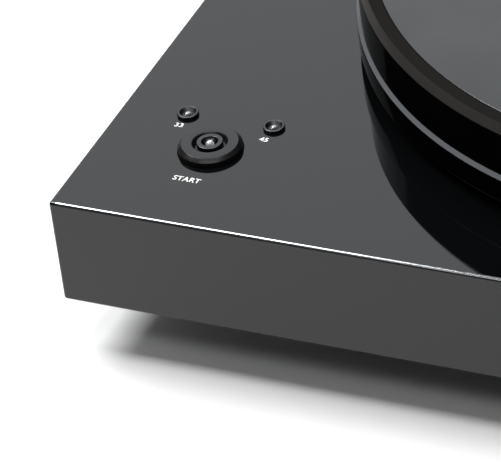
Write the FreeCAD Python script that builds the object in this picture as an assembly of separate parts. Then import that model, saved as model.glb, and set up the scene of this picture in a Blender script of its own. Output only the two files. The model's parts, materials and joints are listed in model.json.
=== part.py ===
import FreeCAD, Part
import math
import os
from FreeCAD import Vector

# Belt-drive turntable: lacquered plinth, heavy platter on a sub-platter, straight 9-inch gimbal tonearm.
# Frame: origin on the table under the middle of the plinth, +X right, +Y back, +Z up. Millimetres.
# Every height named t in this file is measured up from the plinth's top face.

# ---- driving dimensions -------------------------------------------------------------------------
plinth_width = 460.0
plinth_depth = 345.0
plinth_thickness = 40.0
plinth_edge_radius = 1.2
foot_height = 22.0
top_z = foot_height + plinth_thickness
floor_t = -top_z
base_t = -plinth_thickness

front_left = (-plinth_width / 2, -plinth_depth / 2)
platter_centre = (front_left[0] + 204.5, 0.0)
platter_radius = 150.0
platter_step_radius = 151.3
platter_bottom_t = 4.0
platter_step_t = 13.6
platter_wall_top_t = 30.7
platter_top_t = 34.0
platter_cavity_radius = 136.0
web_under_t = 21.0
mat_radius = 143.8
mat_thickness = 1.0
mat_recess = 0.8
mat_gap = 0.2

subplatter_radius = 82.0
pulley_radius = 8.0
belt_thickness = 0.8
belt_width = 4.0
belt_middle_t = 14.0
belt_clearance = 0.05
motor_ear_reach = 28.0
motor_reach = 112.0
motor_angle = 140.0

start_centre = (front_left[0] + 40.3, front_left[1] + 42.2)
led_offset = (15.85, 17.0)
start_radius = 10.95
start_chamfer = (1.35, 1.2)
start_top_t = 3.05

pivot = (166.5, 88.0)
arm_axis_t = 58.0
tube_start_u = 12.0
tube_end_u = 206.0
tube_root_radius = 5.0
tube_tip_radius = 4.0
headshell_rear_u = 208.0
headshell_offset_deg = 23.6
headshell_t = (arm_axis_t - 3.0, arm_axis_t - 0.4)
cartridge_screw_w = (-6.35, 6.35)
stylus_h = 24.0
stylus_drop = 20.4     # arm axis down to the stylus tip

foot_places = [(x, y) for x in (-150.0, 150.0) for y in (-118.0, 118.0)]

running = 0.05        # radial clearance of a shaft in its bush

os.makedirs("parts", exist_ok=True)


# ---- helpers ------------------------------------------------------------------------------------
def cylinder(radius, t0, t1, at=(0.0, 0.0)):
    return Part.makeCylinder(radius, t1 - t0, Vector(at[0], at[1], top_z + t0))


def ring(outer, inner, t0, t1, at=(0.0, 0.0)):
    return cylinder(outer, t0, t1, at).cut(cylinder(inner, t0 - 1, t1 + 1, at))


def block(x0, x1, y0, y1, t0, t1):
    return Part.makeBox(x1 - x0, y1 - y0, t1 - t0, Vector(x0, y0, top_z + t0))


def rod(radius, start, end):
    """Round bar between two points given as (x, y, t)."""
    a = Vector(start[0], start[1], top_z + start[2])
    b = Vector(end[0], end[1], top_z + end[2])
    return Part.makeCylinder(radius, (b - a).Length, a, b - a)


def revolve(outline, at):
    """Solid of revolution about the vertical line through at, from (radius, t) corners."""
    points = [Vector(at[0] + r, at[1], top_z + t) for r, t in outline]
    face = Part.Face(Part.makePolygon(points + [points[0]]))
    return face.revolve(Vector(at[0], at[1], 0), Vector(0, 0, 1), 360)


def softened(shape, radius, chosen=lambda edge: True):
    edges = [edge for edge in shape.Edges if chosen(edge)]
    return shape.makeFillet(radius, edges)


def chamfered(shape, size, chosen=lambda edge: True):
    edges = [edge for edge in shape.Edges if chosen(edge)]
    return shape.makeChamfer(size, edges)


def is_vertical(edge):
    first, last = edge.Vertexes[0].Point, edge.Vertexes[-1].Point
    return abs(first.x - last.x) < 1e-6 and abs(first.y - last.y) < 1e-6 and abs(first.z - last.z) > 1e-6


def on_arm(u, v, t):
    """Point at u mm ahead of the arm pivot and v mm to its right, with the arm on its rest."""
    return (pivot[0] + v, pivot[1] - u, t)


def arm_block(u0, u1, v0, v1, t0, t1):
    return block(pivot[0] + v0, pivot[0] + v1, pivot[1] - u1, pivot[1] - u0, t0, t1)


def arm_at(u, v):
    return on_arm(u, v, 0)[:2]


def on_headshell(h, w, t):
    """Point at h mm ahead of the headshell's rear end and w mm to its right."""
    angle = math.radians(headshell_offset_deg)
    u = headshell_rear_u + h * math.cos(angle) + w * math.sin(angle)
    v = -h * math.sin(angle) + w * math.cos(angle)
    return on_arm(u, v, t)


def turned_to_headshell(shape):
    """Turns a piece modelled straight ahead of the headshell's rear end to the offset angle."""
    x, y, _ = on_arm(headshell_rear_u, 0, 0)
    shape.rotate(Vector(x, y, 0), Vector(0, 0, 1), -headshell_offset_deg)
    return shape


def head_block(h0, h1, w0, w1, t0, t1):
    return turned_to_headshell(arm_block(headshell_rear_u + h0, headshell_rear_u + h1, w0, w1, t0, t1))


def cable(points, radius):
    """Round cable through (x, y, t) points: straight runs joined by arcs as large as the runs allow."""
    spots = [Vector(x, y, top_z + t) for x, y, t in points]
    edges = []
    start = spots[0]
    for before, corner, after in zip(spots, spots[1:], spots[2:]):
        trim = 0.45 * min((corner - before).Length, (after - corner).Length)
        into = (before - corner).normalize()
        out = (after - corner).normalize()
        half = into.getAngle(out) / 2
        bend = trim * math.tan(half)
        inward = (into + out).normalize()
        arc_start = corner + into * trim
        arc_middle = corner + inward * (bend / math.sin(half) - bend)
        arc_end = corner + out * trim
        edges.append(Part.LineSegment(start, arc_start).toShape())
        edges.append(Part.Arc(arc_start, arc_middle, arc_end).toShape())
        start = arc_end
    edges.append(Part.LineSegment(start, spots[-1]).toShape())
    section = Part.Wire(Part.Circle(spots[0], spots[1] - spots[0], radius).toShape())
    return Part.Wire(edges).makePipeShell([section], True, False)


def screw(at, head_t, head_radius, head_height, shank_radius, tip_t):
    """Hex-socket screw driven upwards, its head's face at head_t."""
    head = cylinder(head_radius, head_t, head_t + head_height, at)
    shank = cylinder(shank_radius, head_t + head_height, tip_t, at)
    socket = Part.makePolygon([
        Vector(at[0] + 0.55 * head_radius * math.cos(math.radians(a)),
               at[1] + 0.55 * head_radius * math.sin(math.radians(a)), top_z + head_t)
        for a in range(0, 361, 60)])
    drive = Part.Face(socket).extrude(Vector(0, 0, 0.55 * head_height))
    return head.fuse(shank).cut(drive)


def save(node, shape):
    """Writes one node. A list of separate solids goes in as one compound."""
    solids = [s for piece in (shape if isinstance(shape, list) else [shape]) for s in piece.Solids]
    for solid in solids:
        if not solid.isValid() or solid.Volume <= 0:
            raise ValueError(f"{node} holds a bad solid")
    whole = solids[0] if len(solids) == 1 else Part.makeCompound(solids)
    whole.exportStep(f"parts/{node}.step")
    print(f"{node}: {len(solids)} solid(s), {whole.Volume / 1000:.2f} cm3")


# ---- places that several pieces share -----------------------------------------------------------
motor_centre = (platter_centre[0] + motor_reach * math.cos(math.radians(motor_angle)),
                platter_centre[1] + motor_reach * math.sin(math.radians(motor_angle)))
led_centres = {"33": (start_centre[0] - led_offset[0], start_centre[1] + led_offset[1]),
               "45": (start_centre[0] + led_offset[0], start_centre[1] + led_offset[1])}

control_web_t = -10.0
switch_board_t = -20.5
control_board_t = -19.0
board_thickness = 1.6
motor_web_t = -8.0
arm_web_t = -22.0
cover_thickness = 1.6
cover_t = base_t + cover_thickness
pocket_floor_t = base_t - 1.0

recess_x = (10.0, 130.0)
recess_top_t = -10.0
panel_front_y = plinth_depth / 2 - 14.0
panel_thickness = 2.0
panel_back_y = panel_front_y + panel_thickness
socket_t = -25.0
rca_places = {"left": 38.0, "right": 54.0}
ground_x = 72.0
inlet_x = 100.0

housing_radius = 11.0
housing_bore = 7.0
shaft_radius = 5.0
spindle_radius = 3.57
boss_radius = 4.5
bearing_foot_t = -46.0

cover_x = plinth_width / 2 - 8.0
cover_front_y = -plinth_depth / 2 + 8.0
cover_back_y = panel_front_y - 2.0
cover_screw_places = [(x, y) for x in (-215.0, -80.0, 215.0) for y in (-157.5, 149.5)]
cover_screw_places += [(72.0, -157.5), (72.0, 93.0)]


# ---- plinth and its underside -------------------------------------------------------------------
def plinth():
    half_x, half_y = plinth_width / 2, plinth_depth / 2
    body = softened(block(-half_x, half_x, -half_y, half_y, base_t, 0), plinth_edge_radius)
    cuts = [
        # control pocket under the button and lamps
        block(-218, -164, -152, -104, pocket_floor_t, control_web_t),
        cylinder(36.0, pocket_floor_t, motor_web_t, motor_centre),
        cylinder(9.0 + 1.5, motor_web_t - 1, 1, motor_centre),
        # electronics pocket, narrower where the connection panel's lips are
        block(-70, 124, 100, 150, pocket_floor_t, -12),
        block(16, 124, 149, panel_front_y + 0.1, pocket_floor_t, -13),
        block(recess_x[0], recess_x[1], panel_front_y, half_y + 1, pocket_floor_t, recess_top_t),
        # wiring channels
        block(-176, -164.1, -105, 72, pocket_floor_t, -26),
        block(-176, -140, 54, 80, pocket_floor_t, -26),
        block(-106, -69, 94, 112, pocket_floor_t, -26),
        block(123, 150, 90, 104, pocket_floor_t, -26),
        # main bearing
        cylinder(housing_radius + 0.1, pocket_floor_t, 1, platter_centre),
        cylinder(20.0, pocket_floor_t, -33, platter_centre),
        # arm base
        cylinder(24.0, pocket_floor_t, arm_web_t, pivot),
        cylinder(12.1, arm_web_t - 1, 1, pivot),
        # button and lamp holes
        cylinder(start_radius + 0.35, -6.0, 1, start_centre),
        cylinder(6.0, control_web_t - 1, 0, start_centre),
    ]
    cuts += [cylinder(2.0, control_web_t - 1, 1, at) for at in led_centres.values()]
    cuts += [cover_blank(cover_thickness + 1.0, -1.0, 0.3)]
    cuts += [cylinder(1.6, base_t - 1, base_t + 14, at) for at in cover_screw_places]
    cuts += [cylinder(2.5, base_t - 1, base_t + 24, at) for at in foot_places]
    cuts += [cylinder(1.5, -13, 1, at) for at in arm_screw_places()]
    cuts += [cylinder(1.65, motor_web_t - 1, -1.5, at) for at in around_motor(motor_ear_reach, 3)]
    cuts += [along_y(1.5, x, t, panel_front_y - 11, panel_front_y + 1) for x, t in panel_screw_places()]
    for cut in cuts:
        body = body.cut(cut)
    for at in switch_board_posts():
        body = body.fuse(ring(3.2, 1.5, switch_board_t, control_web_t + 0.01, at))
    for at in control_board_posts():
        body = body.fuse(ring(3.2, 1.5, control_board_t, -12 + 0.01, at))
    return body


def cover_blank(thickness, lift, margin):
    """Outline of the underside cover: a rectangle with a tongue below the connection panel."""
    low = base_t + lift
    plate = block(-cover_x - margin, cover_x + margin, cover_front_y - margin, cover_back_y + margin,
                  low, low + thickness)
    tongue = block(18 - margin, 122 + margin, cover_back_y - 1, panel_front_y - 0.3 + margin,
                   low, low + thickness)
    return plate.fuse(tongue).removeSplitter()


def bottom_cover():
    plate = cover_blank(cover_thickness, 0, 0)
    holes = [cylinder(20.0, base_t - 1, cover_t + 1, platter_centre)]
    holes += [cylinder(1.8, base_t - 1, cover_t + 1, at) for at in cover_screw_places]
    holes += [cylinder(2.6, base_t - 1, cover_t + 1, at) for at in foot_places]
    for row in range(5):
        y = 112.0 + 6.0 * row
        slot = block(-40, 20, y, y + 2.5, base_t - 1, cover_t + 1)
        holes.append(softened(slot, 1.2, is_vertical))
    for hole in holes:
        plate = plate.cut(hole)
    return plate


def cover_screws():
    return [screw(at, base_t - 1.6, 3.2, 1.6, 1.5, base_t + 12) for at in cover_screw_places]


def foot_bodies():
    feet = []
    for at in foot_places:
        body = revolve([(4.8, floor_t + 5), (17.0, floor_t + 5), (17.0, floor_t + 4), (19.0, floor_t + 4),
                        (20.0, floor_t + 5.5), (20.0, floor_t + 8.0), (19.2, floor_t + 8.6),
                        (19.2, floor_t + 10.2), (20.0, floor_t + 10.8), (20.0, base_t - 1.2),
                        (18.8, base_t), (2.6, base_t), (2.6, floor_t + 11.2),
                        (4.8, floor_t + 11.2)], at)
        feet.append(body)
    return feet


def foot_pads():
    return [revolve([(0, floor_t), (15.2, floor_t), (16.4, floor_t + 1.0), (16.4, floor_t + 5.0),
                     (0, floor_t + 5.0)], at) for at in foot_places]


def foot_screws():
    return [screw(at, floor_t + 6.5, 4.5, 4.5, 2.45, base_t + 22) for at in foot_places]


# ---- main bearing, sub-platter and platter ------------------------------------------------------
def bearing_housing():
    return revolve([(0, bearing_foot_t), (9.5, bearing_foot_t), (housing_radius, bearing_foot_t + 1.5),
                    (housing_radius, 0), (19, 0), (19, 3), (18, 4), (housing_bore, 4), (housing_bore, -39),
                    (0, -39)], platter_centre)


def bearing_bushes():
    return [ring(housing_bore, shaft_radius + running, t0, t0 + 10, platter_centre) for t0 in (-33.5, -7.0)]


def thrust_ball():
    ball = Part.makeSphere(2.5)
    ball.translate(Vector(platter_centre[0], platter_centre[1], top_z - 39 + 2.5 + running))
    return ball


def bearing_nut():
    blank = Part.Face(Part.makePolygon([
        Vector(platter_centre[0] + 18.5 * math.cos(math.radians(a)),
               platter_centre[1] + 18.5 * math.sin(math.radians(a)), top_z - 38)
        for a in range(0, 361, 60)])).extrude(Vector(0, 0, 5))
    return blank.cut(cylinder(housing_radius, -41, -32, platter_centre))


def bearing_spindle():
    ball_top = -39 + 5 + running
    return revolve([(0, ball_top), (shaft_radius - 0.6, ball_top), (shaft_radius, ball_top + 0.6),
                    (shaft_radius, 18), (boss_radius, 18), (boss_radius, platter_top_t),
                    (spindle_radius, platter_top_t), (spindle_radius, 46.5), (3.2, 47.6), (2.3, 48.4),
                    (1.0, 48.8), (0, 48.85)], platter_centre)


def subplatter():
    return revolve([(shaft_radius + 0.01, 6), (16, 6), (16, 9), (30, 9), (30, 15), (70, 15), (70, 8),
                    (subplatter_radius, 8), (subplatter_radius, 20), (78, web_under_t),
                    (boss_radius + 0.01, web_under_t), (boss_radius + 0.01, 18), (shaft_radius + 0.01, 18)],
                   platter_centre)


def platter():
    hole = boss_radius + running
    return revolve([(hole, web_under_t), (platter_cavity_radius - 3, web_under_t),
                    (platter_cavity_radius, web_under_t - 3), (platter_cavity_radius, platter_bottom_t),
                    (platter_step_radius - 1.4, platter_bottom_t),
                    (platter_step_radius, platter_bottom_t + 1.4), (platter_step_radius, platter_step_t),
                    (platter_step_radius - 0.3, platter_step_t + 0.5),
                    (platter_radius, platter_step_t + 1.3), (platter_radius, platter_wall_top_t),
                    (platter_radius - 1.8, platter_top_t), (mat_radius + mat_gap, platter_top_t),
                    (mat_radius + mat_gap, platter_top_t - mat_recess), (hole, platter_top_t - mat_recess)],
                   platter_centre)


def record_mat():
    hole = boss_radius + 0.2
    bottom = platter_top_t - mat_recess
    top = bottom + mat_thickness
    return revolve([(hole, bottom), (mat_radius, bottom), (mat_radius, top - 0.2), (mat_radius - 0.2, top),
                    (hole, top)], platter_centre)


# ---- motor drive --------------------------------------------------------------------------------
def belt_outline(around_subplatter, around_pulley, t):
    """Closed outline of two arcs and the two straight runs between them."""
    reach = math.degrees(math.acos((around_subplatter - around_pulley) / motor_reach))

    def spot(centre, radius, angle):
        a = math.radians(motor_angle + angle)
        return Vector(centre[0] + radius * math.cos(a), centre[1] + radius * math.sin(a), top_z + t)

    big = [spot(platter_centre, around_subplatter, a) for a in (reach, 180, -reach)]
    small = [spot(motor_centre, around_pulley, a) for a in (-reach, 0, reach)]
    edges = [Part.Arc(*big).toShape(), Part.LineSegment(big[2], small[0]).toShape(),
             Part.Arc(*small).toShape(), Part.LineSegment(small[2], big[0]).toShape()]
    return Part.Face(Part.Wire(edges))


def drive_belt():
    low = belt_middle_t - belt_width / 2
    outer_gap = belt_clearance + belt_thickness
    outer = belt_outline(subplatter_radius + outer_gap, pulley_radius + outer_gap, low)
    inner = belt_outline(subplatter_radius + belt_clearance, pulley_radius + belt_clearance, low)
    return outer.cut(inner).extrude(Vector(0, 0, belt_width))


def motor_pulley():
    return revolve([(1.5, 6.5), (5, 6.5), (5, 9.5), (9.3, 9.5), (9.3, 10.3), (pulley_radius, 11.0),
                    (pulley_radius, 17.0), (9.3, 17.7), (9.3, 18.5), (1.5, 18.5)], motor_centre)


def motor_rotor():
    magnet = cylinder(16.0, -31, -17, motor_centre)
    return magnet.fuse(cylinder(1.5, -33, 18.0, motor_centre)).removeSplitter()


def motor_can():
    """Can with a flange plate on top, whose three ears sit in the rubber isolators."""
    can = chamfered(cylinder(21.0, -36, -10.5, motor_centre), 1.0)
    plate = cylinder(24.0, -12, -10, motor_centre)
    for at in around_motor(motor_ear_reach, 3):
        plate = plate.fuse(cylinder(6.5, -12, -10, at))
    body = can.fuse(plate).removeSplitter()
    body = body.cut(cylinder(18.5, -34.5, -13.5, motor_centre))
    body = body.cut(cylinder(1.5 + running, -35, -9, motor_centre))
    for at in around_motor(motor_ear_reach, 3):
        body = body.cut(cylinder(2.95, -13, -9, at))
    return body


def around_motor(radius, count, turn=30.0):
    return [(motor_centre[0] + radius * math.cos(math.radians(turn + 360 * k / count)),
             motor_centre[1] + radius * math.sin(math.radians(turn + 360 * k / count))) for k in range(count)]


def motor_isolators():
    rubbers = []
    for at in around_motor(motor_ear_reach, 3):
        rubbers.append(revolve([(1.7, -13.6), (5.4, -13.6), (5.4, -12), (2.95, -12), (2.95, -10), (5.4, -10),
                                (5.4, motor_web_t), (1.7, motor_web_t)], at))
    return rubbers


def motor_screws():
    return [screw(at, -16.0, 3.6, 2.4, 1.6, -2.0) for at in around_motor(motor_ear_reach, 3)]


# ---- start button and speed lamps ---------------------------------------------------------------
def start_button():
    edge_r, edge_t = start_chamfer
    outline = [(0, -16.5), (1.7, -16.5), (1.7, -12), (5.5, -12), (5.5, -1.5), (start_radius - 2, -1.5),
               (start_radius - 2, -3.6), (start_radius, -3.6), (start_radius, start_top_t - edge_t),
               (start_radius - edge_r, start_top_t), (6.05, start_top_t), (5.8, start_top_t - 0.25),
               (5.8, 1.3), (5.5, 1.0), (2.0, 1.0), (2.0, -10), (0, -10)]
    return revolve(outline, start_centre)


def lamp_bezel(at, foot_t, flange_radius, height, lip):
    """Collar with a conical reflector that a 3 mm lamp sits in."""
    return revolve([(1.56, foot_t - 7.0), (1.95, foot_t - 7.0), (1.95, foot_t), (flange_radius, foot_t),
                    (flange_radius, foot_t + height - 0.3), (flange_radius - 0.3, foot_t + height),
                    (flange_radius - lip, foot_t + height), (1.9, foot_t + 0.15), (1.56, foot_t + 0.15)], at)


def lamp(at, dome_t, leg_t):
    """3 mm lamp with a domed lens and two legs."""
    lens = cylinder(1.5, dome_t - 4.6, dome_t - 1.5, at)
    dome = Part.makeSphere(1.5)
    dome.translate(Vector(at[0], at[1], top_z + dome_t - 1.5))
    body = lens.fuse(dome)
    for side in (-0.8, 0.8):
        leg = block(at[0] + side - 0.25, at[0] + side + 0.25, at[1] - 0.25, at[1] + 0.25, leg_t, dome_t - 4.5)
        body = body.fuse(leg)
    return body.removeSplitter()


def button_retainer():
    return ring(7.6, 5.5, control_web_t - 1.5, control_web_t - 0.3, start_centre)


def start_switch():
    x, y = start_centre
    body = block(x - 6, x + 6, y - 6, y + 6, -20.5, -15.0)
    return chamfered(body, 0.5).cut(cylinder(2.0, -18.6, -14, start_centre))


def switch_board():
    board = block(-216, -166, -150, -107, switch_board_t - board_thickness, switch_board_t)
    for at in switch_board_posts():
        board = board.cut(cylinder(1.6, -23, -20, at))
    return board


def switch_board_posts():
    return [(-212.5, -146.5), (-169.5, -146.5), (-191.0, -110.5)]


def board_screws():
    """Screws of both circuit boards, driven up into the plinth's posts."""
    places = [(at, switch_board_t) for at in switch_board_posts()]
    places += [(at, control_board_t) for at in control_board_posts()]
    return [screw(at, t - board_thickness - 2.0, 2.8, 2.0, 1.45, t + 7.0) for at, t in places]


# ---- electronics and rear connections -----------------------------------------------------------
def control_board():
    """Board with its capacitors, heat sink, chips and plugs on the lower face."""
    under = control_board_t - board_thickness
    board = block(-58, 42, 104, 146, under, control_board_t)
    parts = [cylinder(5.0, under - 14, under, (x, 136)) for x in (-38.0, -24.0)]
    parts.append(block(-12, 2, 112, 126, under - 2, under))
    parts.append(block(14, 29, 130, 134, under - 15, under))
    parts += [block(x, x + 8, 109, 114, under - 6, under) for x in (-46.0, 10.0, 24.0)]
    for piece in parts:
        board = board.fuse(piece)
    for at in control_board_posts():
        board = board.cut(cylinder(1.6, -22, -18, at))
    return board.removeSplitter()


def control_board_posts():
    return [(x, y) for x in (-54.0, 38.0) for y in (108.0, 142.0)]


def connection_panel():
    plate = block(recess_x[0] + 0.4, recess_x[1] - 0.4, panel_front_y, panel_back_y,
                  -38.0, recess_top_t - 0.4)
    for x in rca_places.values():
        plate = plate.cut(along_y(4.0, x, socket_t, panel_front_y - 1, panel_back_y + 1))
    plate = plate.cut(along_y(2.0, ground_x, socket_t, panel_front_y - 1, panel_back_y + 1))
    plate = plate.cut(along_y(5.0, inlet_x, socket_t, panel_front_y - 1, panel_back_y + 1))
    for x, t in panel_screw_places():
        plate = plate.cut(along_y(1.6, x, t, panel_front_y - 1, panel_back_y + 1))
    return plate


def along_y(radius, x, t, y0, y1):
    return rod(radius, (x, y0, t), (x, y1, t))


def panel_screw_places():
    return [(x, t) for x in (recess_x[0] + 3.4, recess_x[1] - 3.4) for t in (-33.5, -15.0)]


def panel_screws():
    screws = []
    for x, t in panel_screw_places():
        shank = along_y(1.5, x, t, panel_front_y - 9, panel_back_y)
        head = along_y(2.8, x, t, panel_back_y, panel_back_y + 1.6)
        drive = block(x - 0.3, x + 0.3, panel_back_y + 0.8, panel_back_y + 2, t - 2, t + 2)
        cross = block(x - 2, x + 2, panel_back_y + 0.8, panel_back_y + 2, t - 0.3, t + 0.3)
        screws.append(head.fuse(shank).cut(drive).cut(cross))
    return screws


def rca_socket(x):
    shell = along_y(4.15, x, socket_t, panel_back_y, panel_back_y + 8.5)
    flange = along_y(5.6, x, socket_t, panel_back_y, panel_back_y + 1.2)
    tail = along_y(3.95, x, socket_t, panel_front_y - 7, panel_back_y)
    nut = along_y(5.4, x, socket_t, panel_front_y - 2.4, panel_front_y)
    bore = along_y(1.65, x, socket_t, panel_back_y - 2, panel_back_y + 9)
    return shell.fuse(flange).fuse(tail).fuse(nut).cut(bore).removeSplitter()


def ground_post():
    stud = along_y(1.95, ground_x, socket_t, panel_front_y - 4, panel_back_y + 9.5)
    nut = along_y(4.0, ground_x, socket_t, panel_front_y - 2.4, panel_front_y)
    seat = along_y(3.6, ground_x, socket_t, panel_back_y, panel_back_y + 0.8)
    return stud.fuse(nut).fuse(seat).removeSplitter()


def ground_nut():
    y0 = panel_back_y + 1.2
    knob = along_y(4.6, ground_x, socket_t, y0, y0 + 6.5)
    for k in range(18):
        a = math.radians(20 * k)
        groove = along_y(0.35, ground_x + 4.7 * math.cos(a), socket_t + 4.7 * math.sin(a), y0 - 1, y0 + 8)
        knob = knob.cut(groove)
    return knob.cut(along_y(1.95 + running, ground_x, socket_t, y0 - 1, y0 + 8))


def dc_inlet():
    barrel = along_y(4.9, inlet_x, socket_t, panel_front_y - 12, panel_back_y + 0.4)
    rim = along_y(6.2, inlet_x, socket_t, panel_back_y, panel_back_y + 2.4)
    nut = along_y(6.6, inlet_x, socket_t, panel_front_y - 2.4, panel_front_y)
    bore = along_y(3.1, inlet_x, socket_t, panel_front_y - 8, panel_back_y + 3)
    body = barrel.fuse(rim).fuse(nut).cut(bore).removeSplitter()
    return body.fuse(along_y(1.0, inlet_x, socket_t, panel_front_y - 9, panel_back_y + 1.6)).removeSplitter()


def wiring():
    """The four looms inside the plinth: power, motor, button board and tonearm signal."""
    under = control_board_t - board_thickness
    motor_x, motor_y = motor_centre
    side = 21.0 * math.sqrt(0.5)
    boards_under = switch_board_t - board_thickness
    out = 30.0 * math.sqrt(0.5)
    socket_y = panel_front_y - 7
    routes = [
        (1.6, [(inlet_x, panel_front_y - 12, socket_t), (inlet_x, 136, socket_t), (90, 122, -29),
               (66, 118, -32), (37, 116, -32), (37, 116, under)]),
        (1.2, [(motor_x + side, motor_y + side, -28), (motor_x + out, motor_y + out, -28), (-78, 106, -30),
               (-62, 107, -31), (-48.5, 113, -31), (-48.5, 113, under)]),
        (1.5, [(-170, -125, boards_under), (-170, -125, -31), (-170.5, -108, -35), (-171, -66, -35),
               (-169, -8, -34.5), (-171, 46, -35), (-160, 66, -35), (-143, 80, -35.5), (-127, 98, -35.5),
               (-104, 101, -35), (-80, 106, -35), (-60, 108, -34), (-53, 121, -33), (-53, 121, under)]),
        (1.4, [(pivot[0], pivot[1], -16), (pivot[0], pivot[1], -34), (144, 96, -35), (114, 105, -35),
               (84, 124, -35), (60, 134, -30), (rca_places["right"], 142, socket_t),
               (rca_places["right"], socket_y, socket_t)]),
    ]
    return [cable(points, radius) for radius, points in routes]


# ---- tonearm: base, pillar and platform ---------------------------------------------------------
def arm_base():
    base = revolve([(9.0 + running, -21.9), (12.0, -21.9), (12.0, 0), (24, 0), (24, 2.4), (23.4, 3.0),
                    (15, 3.0), (15, 15.4), (14.4, 16), (9.0 + running, 16)], pivot)
    for at in arm_screw_places():
        base = base.cut(cylinder(1.6, -1, 4, at))
    return base.cut(rod(2.05, on_arm(0, 8, 10), on_arm(0, 16, 10)))


def arm_screw_places():
    return [(pivot[0] + 19.5 * math.cos(math.radians(a)), pivot[1] + 19.5 * math.sin(math.radians(a)))
            for a in (30, 150, 270)]


def arm_base_screws():
    screws = []
    for at in arm_screw_places():
        head = cylinder(2.4, 3.0, 4.4, at)
        head = softened(head, 0.4, lambda edge: edge.BoundBox.ZMin > top_z + 4.3)
        slot = block(at[0] - 3, at[0] + 3, at[1] - 0.3, at[1] + 0.3, 3.8, 5)
        screws.append(head.fuse(cylinder(1.45, -12, 3.0, at)).cut(slot).removeSplitter())
    return screws


def height_lock_screw():
    lock = rod(2.0, on_arm(0, 9.4, 10), on_arm(0, 19, 10))
    knob = rod(4.2, on_arm(0, 18, 10), on_arm(0, 24, 10))
    knob = chamfered(knob, 0.6)
    return lock.fuse(knob)


def arm_pillar():
    return ring(9.0, 6.5, -33.0, 36.0, pivot)


def swing_bearings():
    return [ring(6.5, 3.0 + running, t0, t0 + 4, pivot) for t0 in (8.0, 31.8)]


lift_angle = 25.0
lift_reach = 45.0
lift_post = (lift_reach * math.cos(math.radians(lift_angle)),
             -lift_reach * math.sin(math.radians(lift_angle)))
rest_u = 84.0
rest_v = 12.5
dial_place = (17.0, 29.0)
platform_t = (29.0, 34.0)
lift_guide_t = 44.4
lift_bar_t = 52.3
lift_rod_end_t = 42.25
lift_spread = 31.0
lever_reach = 4.2
lever_t = 38.6
lever_half_turn = 32.0
rest_floor_t = 52.0


def arm_platform():
    corners = [(-19, -13), (8, -24), (32, -30), (50, -27), (62, -8), (92, 4), (94, 20), (62, 23), (30, 41),
               (8, 41), (-13, 26), (-19, 12)]
    points = [Vector(*on_arm(u, v, 0)[:2], top_z + platform_t[0]) for u, v in corners]
    plate = Part.Face(Part.makePolygon(points + [points[0]]))
    plate = plate.extrude(Vector(0, 0, platform_t[1] - platform_t[0]))
    plate = softened(plate, 5.0, is_vertical)
    plate = chamfered(plate, 0.7, lambda e: e.BoundBox.ZMin > top_z + platform_t[1] - 0.01)
    return plate.cut(cylinder(9.0, 20, 40, pivot))


def lift_cylinder():
    at = arm_at(*lift_post)
    body = cylinder(6.5, platform_t[1], lift_guide_t, at)
    body = chamfered(body, 0.6, lambda edge: edge.BoundBox.ZMin > top_z + lift_guide_t - 0.1)
    body = body.cut(cylinder(2.0 + running, 41.5, lift_guide_t + 1, at)).cut(cylinder(4.6, 34.8, 42.4, at))
    bore = rod(1.5 + running, on_arm(*lever_axle(-8)), on_arm(*lever_axle(8)))
    return body.cut(bore)


def lever_axle(v):
    """Point on the cue lever's axis, v mm to the right of the lift post."""
    return (lift_post[0] - lever_reach, lift_post[1] + v, lever_t)


def lift_bar():
    """Curved bar under the arm tube, following the arm's swing, on the rod that raises it."""
    outer, inner = lift_reach + 2.6, lift_reach - 2.6
    bar = ring(outer, inner, lift_bar_t - 2.2, lift_bar_t, pivot)
    corners = [(0.0, 0.0)]
    for a in (lift_angle - lift_spread, lift_angle, lift_angle + lift_spread):
        corners.append((90 * math.cos(math.radians(a)), -90 * math.sin(math.radians(a))))
    points = [Vector(*arm_at(u, v), top_z + lift_bar_t - 5) for u, v in corners]
    wedge = Part.Face(Part.makePolygon(points + [points[0]])).extrude(Vector(0, 0, 8))
    bar = softened(bar.common(wedge), 0.5)
    lift_rod = revolve([(0, lift_rod_end_t), (0.9, lift_rod_end_t), (2.0, lift_rod_end_t + 2),
                        (2.0, lift_bar_t - 1), (0, lift_bar_t - 1)], arm_at(*lift_post))
    return bar.fuse(lift_rod).removeSplitter()


def cue_lever():
    """Lever in its raised position, with a finger on its axle that carries the lift rod."""
    hub_v = 12.75 - lift_post[1]
    u, v, t = lever_axle(0)
    lift = math.radians(lever_half_turn)
    stand = math.radians(75.0)
    tip = (u + lever_reach * math.cos(lift), v, t + lever_reach * math.sin(lift))
    axle = rod(1.5, on_arm(*lever_axle(-6.0)), on_arm(*lever_axle(hub_v + 1.5)))
    finger = rod(0.9, on_arm(u, v, t), on_arm(*tip))
    hub = rod(3.0, on_arm(*lever_axle(hub_v - 1.75)), on_arm(*lever_axle(hub_v + 1.75)))
    stick_end = (u + 25 * math.cos(stand), v + hub_v, t + 25 * math.sin(stand))
    knob_end = (u + 32 * math.cos(stand), v + hub_v, t + 32 * math.sin(stand))
    knob_start = (u + 23 * math.cos(stand), v + hub_v, t + 23 * math.sin(stand))
    stick = rod(1.1, on_arm(*lever_axle(hub_v)), on_arm(*stick_end))
    knob = softened(rod(2.2, on_arm(*knob_start), on_arm(*knob_end)), 0.8)
    return axle.fuse(finger).fuse(hub).fuse(stick).fuse(knob).removeSplitter()


def arm_rest():
    """Post with an L-shaped cradle, open towards the platter."""
    post = cylinder(3.2, platform_t[1], rest_floor_t - 1, arm_at(rest_u, rest_v))
    floor = arm_block(rest_u - 4, rest_u + 4, -5.0, rest_v + 3.2, rest_floor_t - 3.6, rest_floor_t)
    wall = arm_block(rest_u - 4, rest_u + 4, 5.4, 9.4, rest_floor_t - 3, arm_axis_t + 3.5)
    cradle = softened(floor.fuse(wall).removeSplitter(), 0.6)
    return cradle.fuse(post).removeSplitter()


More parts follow.
